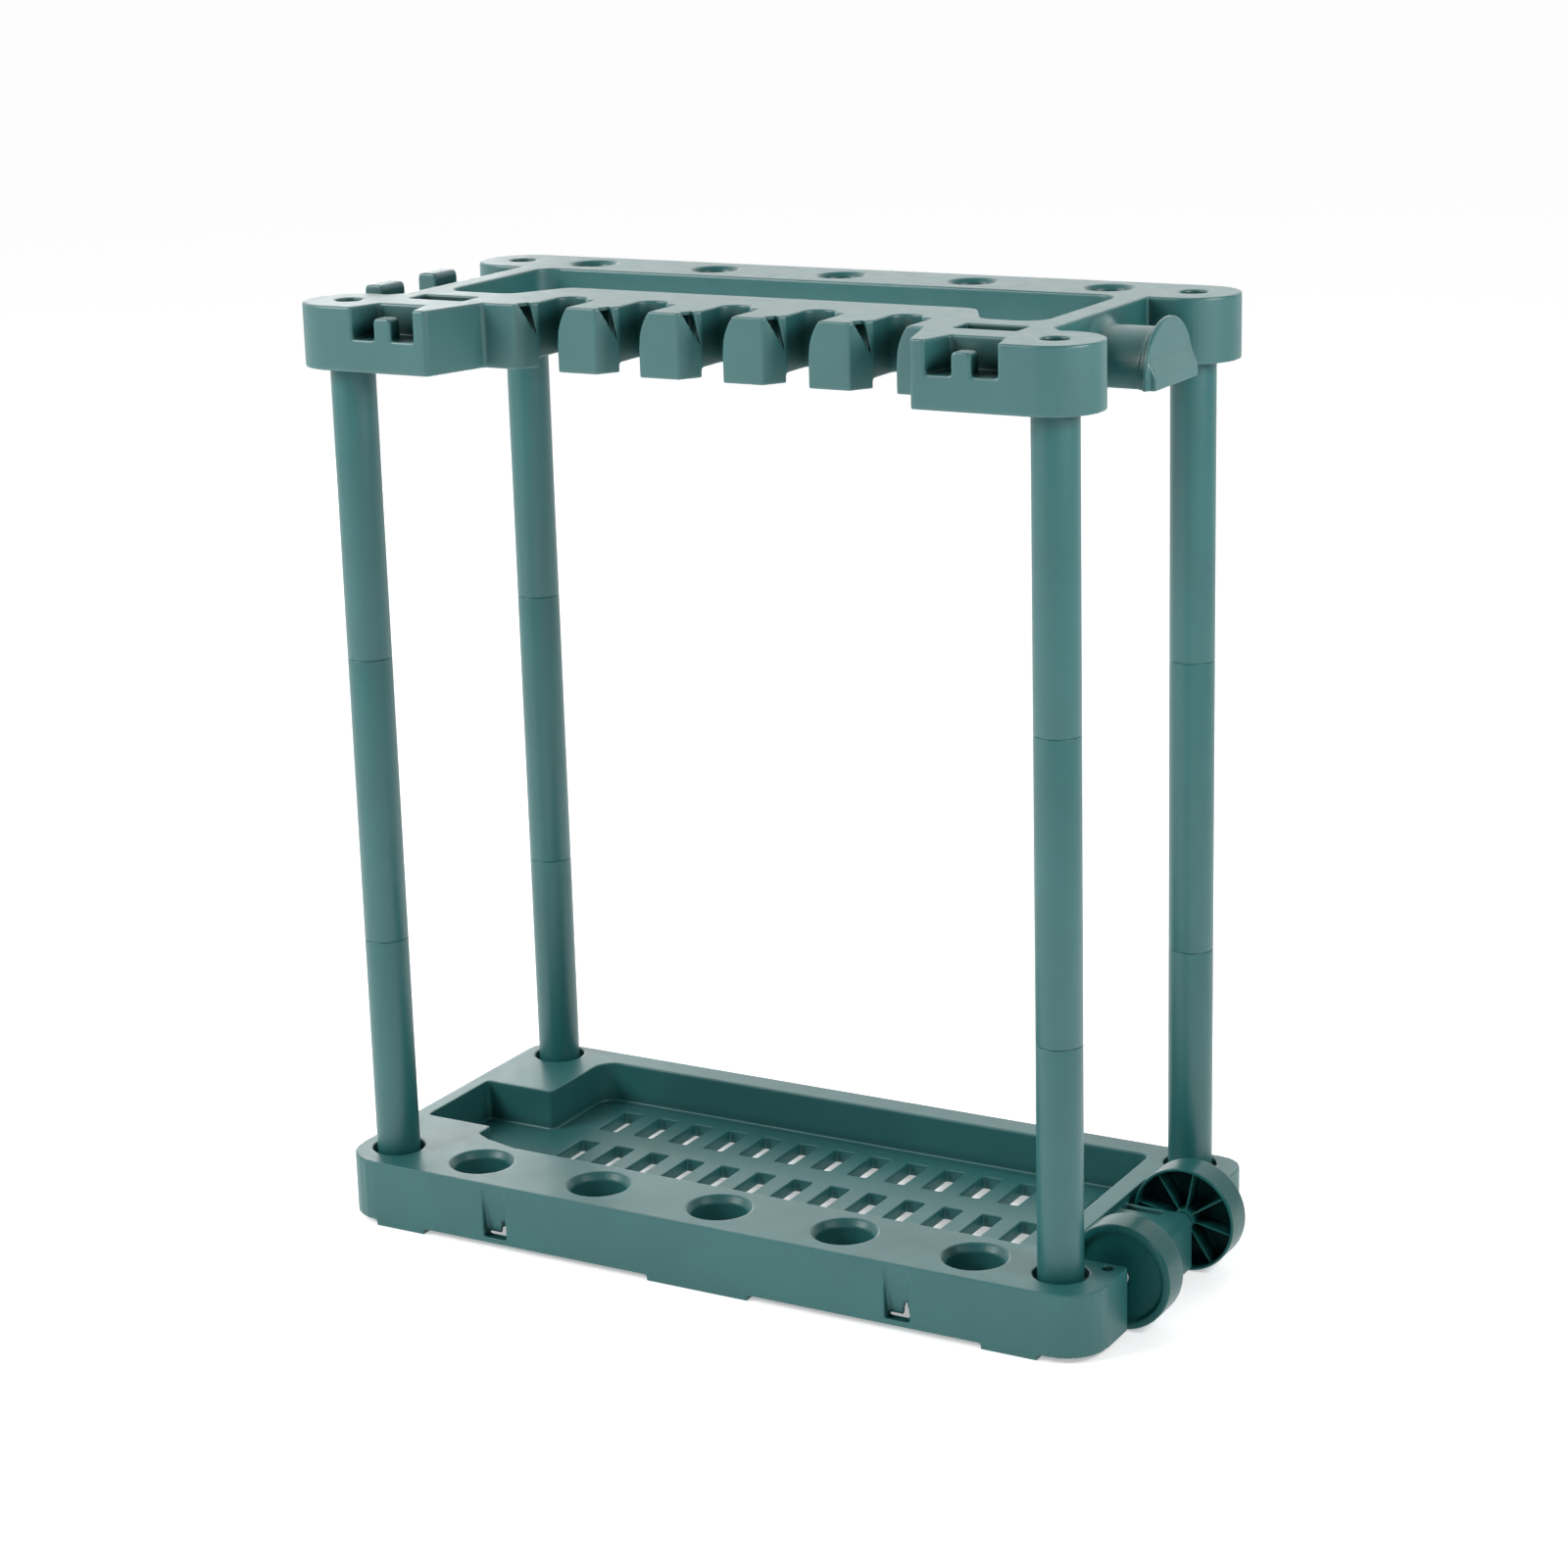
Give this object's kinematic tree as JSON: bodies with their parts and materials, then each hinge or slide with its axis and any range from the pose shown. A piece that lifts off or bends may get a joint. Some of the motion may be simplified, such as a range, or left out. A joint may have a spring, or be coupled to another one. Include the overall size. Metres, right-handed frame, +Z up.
{
  "type": "garden tool rack",
  "caption": "Free-standing garden tool rack: a slotted top rack with end hooks and a hose saddle on tube legs over a tray base with handle cups and wheels at one end.",
  "frame": {"origin": "on the ground, under the middle of the whole object's box", "axes": "+Z up, +X along the rack towards the wheels, -Y the front with the handle slots"},
  "size_m": [0.766, 0.3466, 0.8205],
  "materials": {
    "rack_plastic": "satin teal green moulded plastic with a fine grain",
    "leg_plastic": "satin teal green tube",
    "wheel_plastic": "satin teal green moulded plastic",
    "steel": "zinc plated steel",
    "cap_steel": "pressed spring steel"
  },
  "bodies": {
    "frame": {"top_rack": "rack_plastic", "leg_front_left_lower": "leg_plastic", "leg_front_left_middle": "leg_plastic", "leg_front_left_upper": "leg_plastic", "leg_back_left_lower": "leg_plastic", "leg_back_left_middle": "leg_plastic", "leg_back_left_upper": "leg_plastic", "leg_front_right_lower": "leg_plastic", "leg_front_right_middle": "leg_plastic", "leg_front_right_upper": "leg_plastic", "leg_back_right_lower": "leg_plastic", "leg_back_right_middle": "leg_plastic", "leg_back_right_upper": "leg_plastic", "leg_screws": "steel", "base_tray": "rack_plastic", "axle_rod": "steel", "axle_cap_front": "cap_steel", "axle_cap_rear": "cap_steel"},
    "wheel_front": {"wheel_front": "wheel_plastic"},
    "wheel_rear": {"wheel_rear": "wheel_plastic"}
  },
  "joints": [
    {"name": "wheel_front_spin", "type": "hinge", "parent": "frame", "child": "wheel_front", "pos_m": [0.3375, -0.07475, 0.0455], "axis": [0, 1, 0], "continuous": true},
    {"name": "wheel_rear_spin", "type": "hinge", "parent": "frame", "child": "wheel_rear", "pos_m": [0.3375, 0.05925, 0.0455], "axis": [0, 1, 0], "continuous": true}
  ]
}
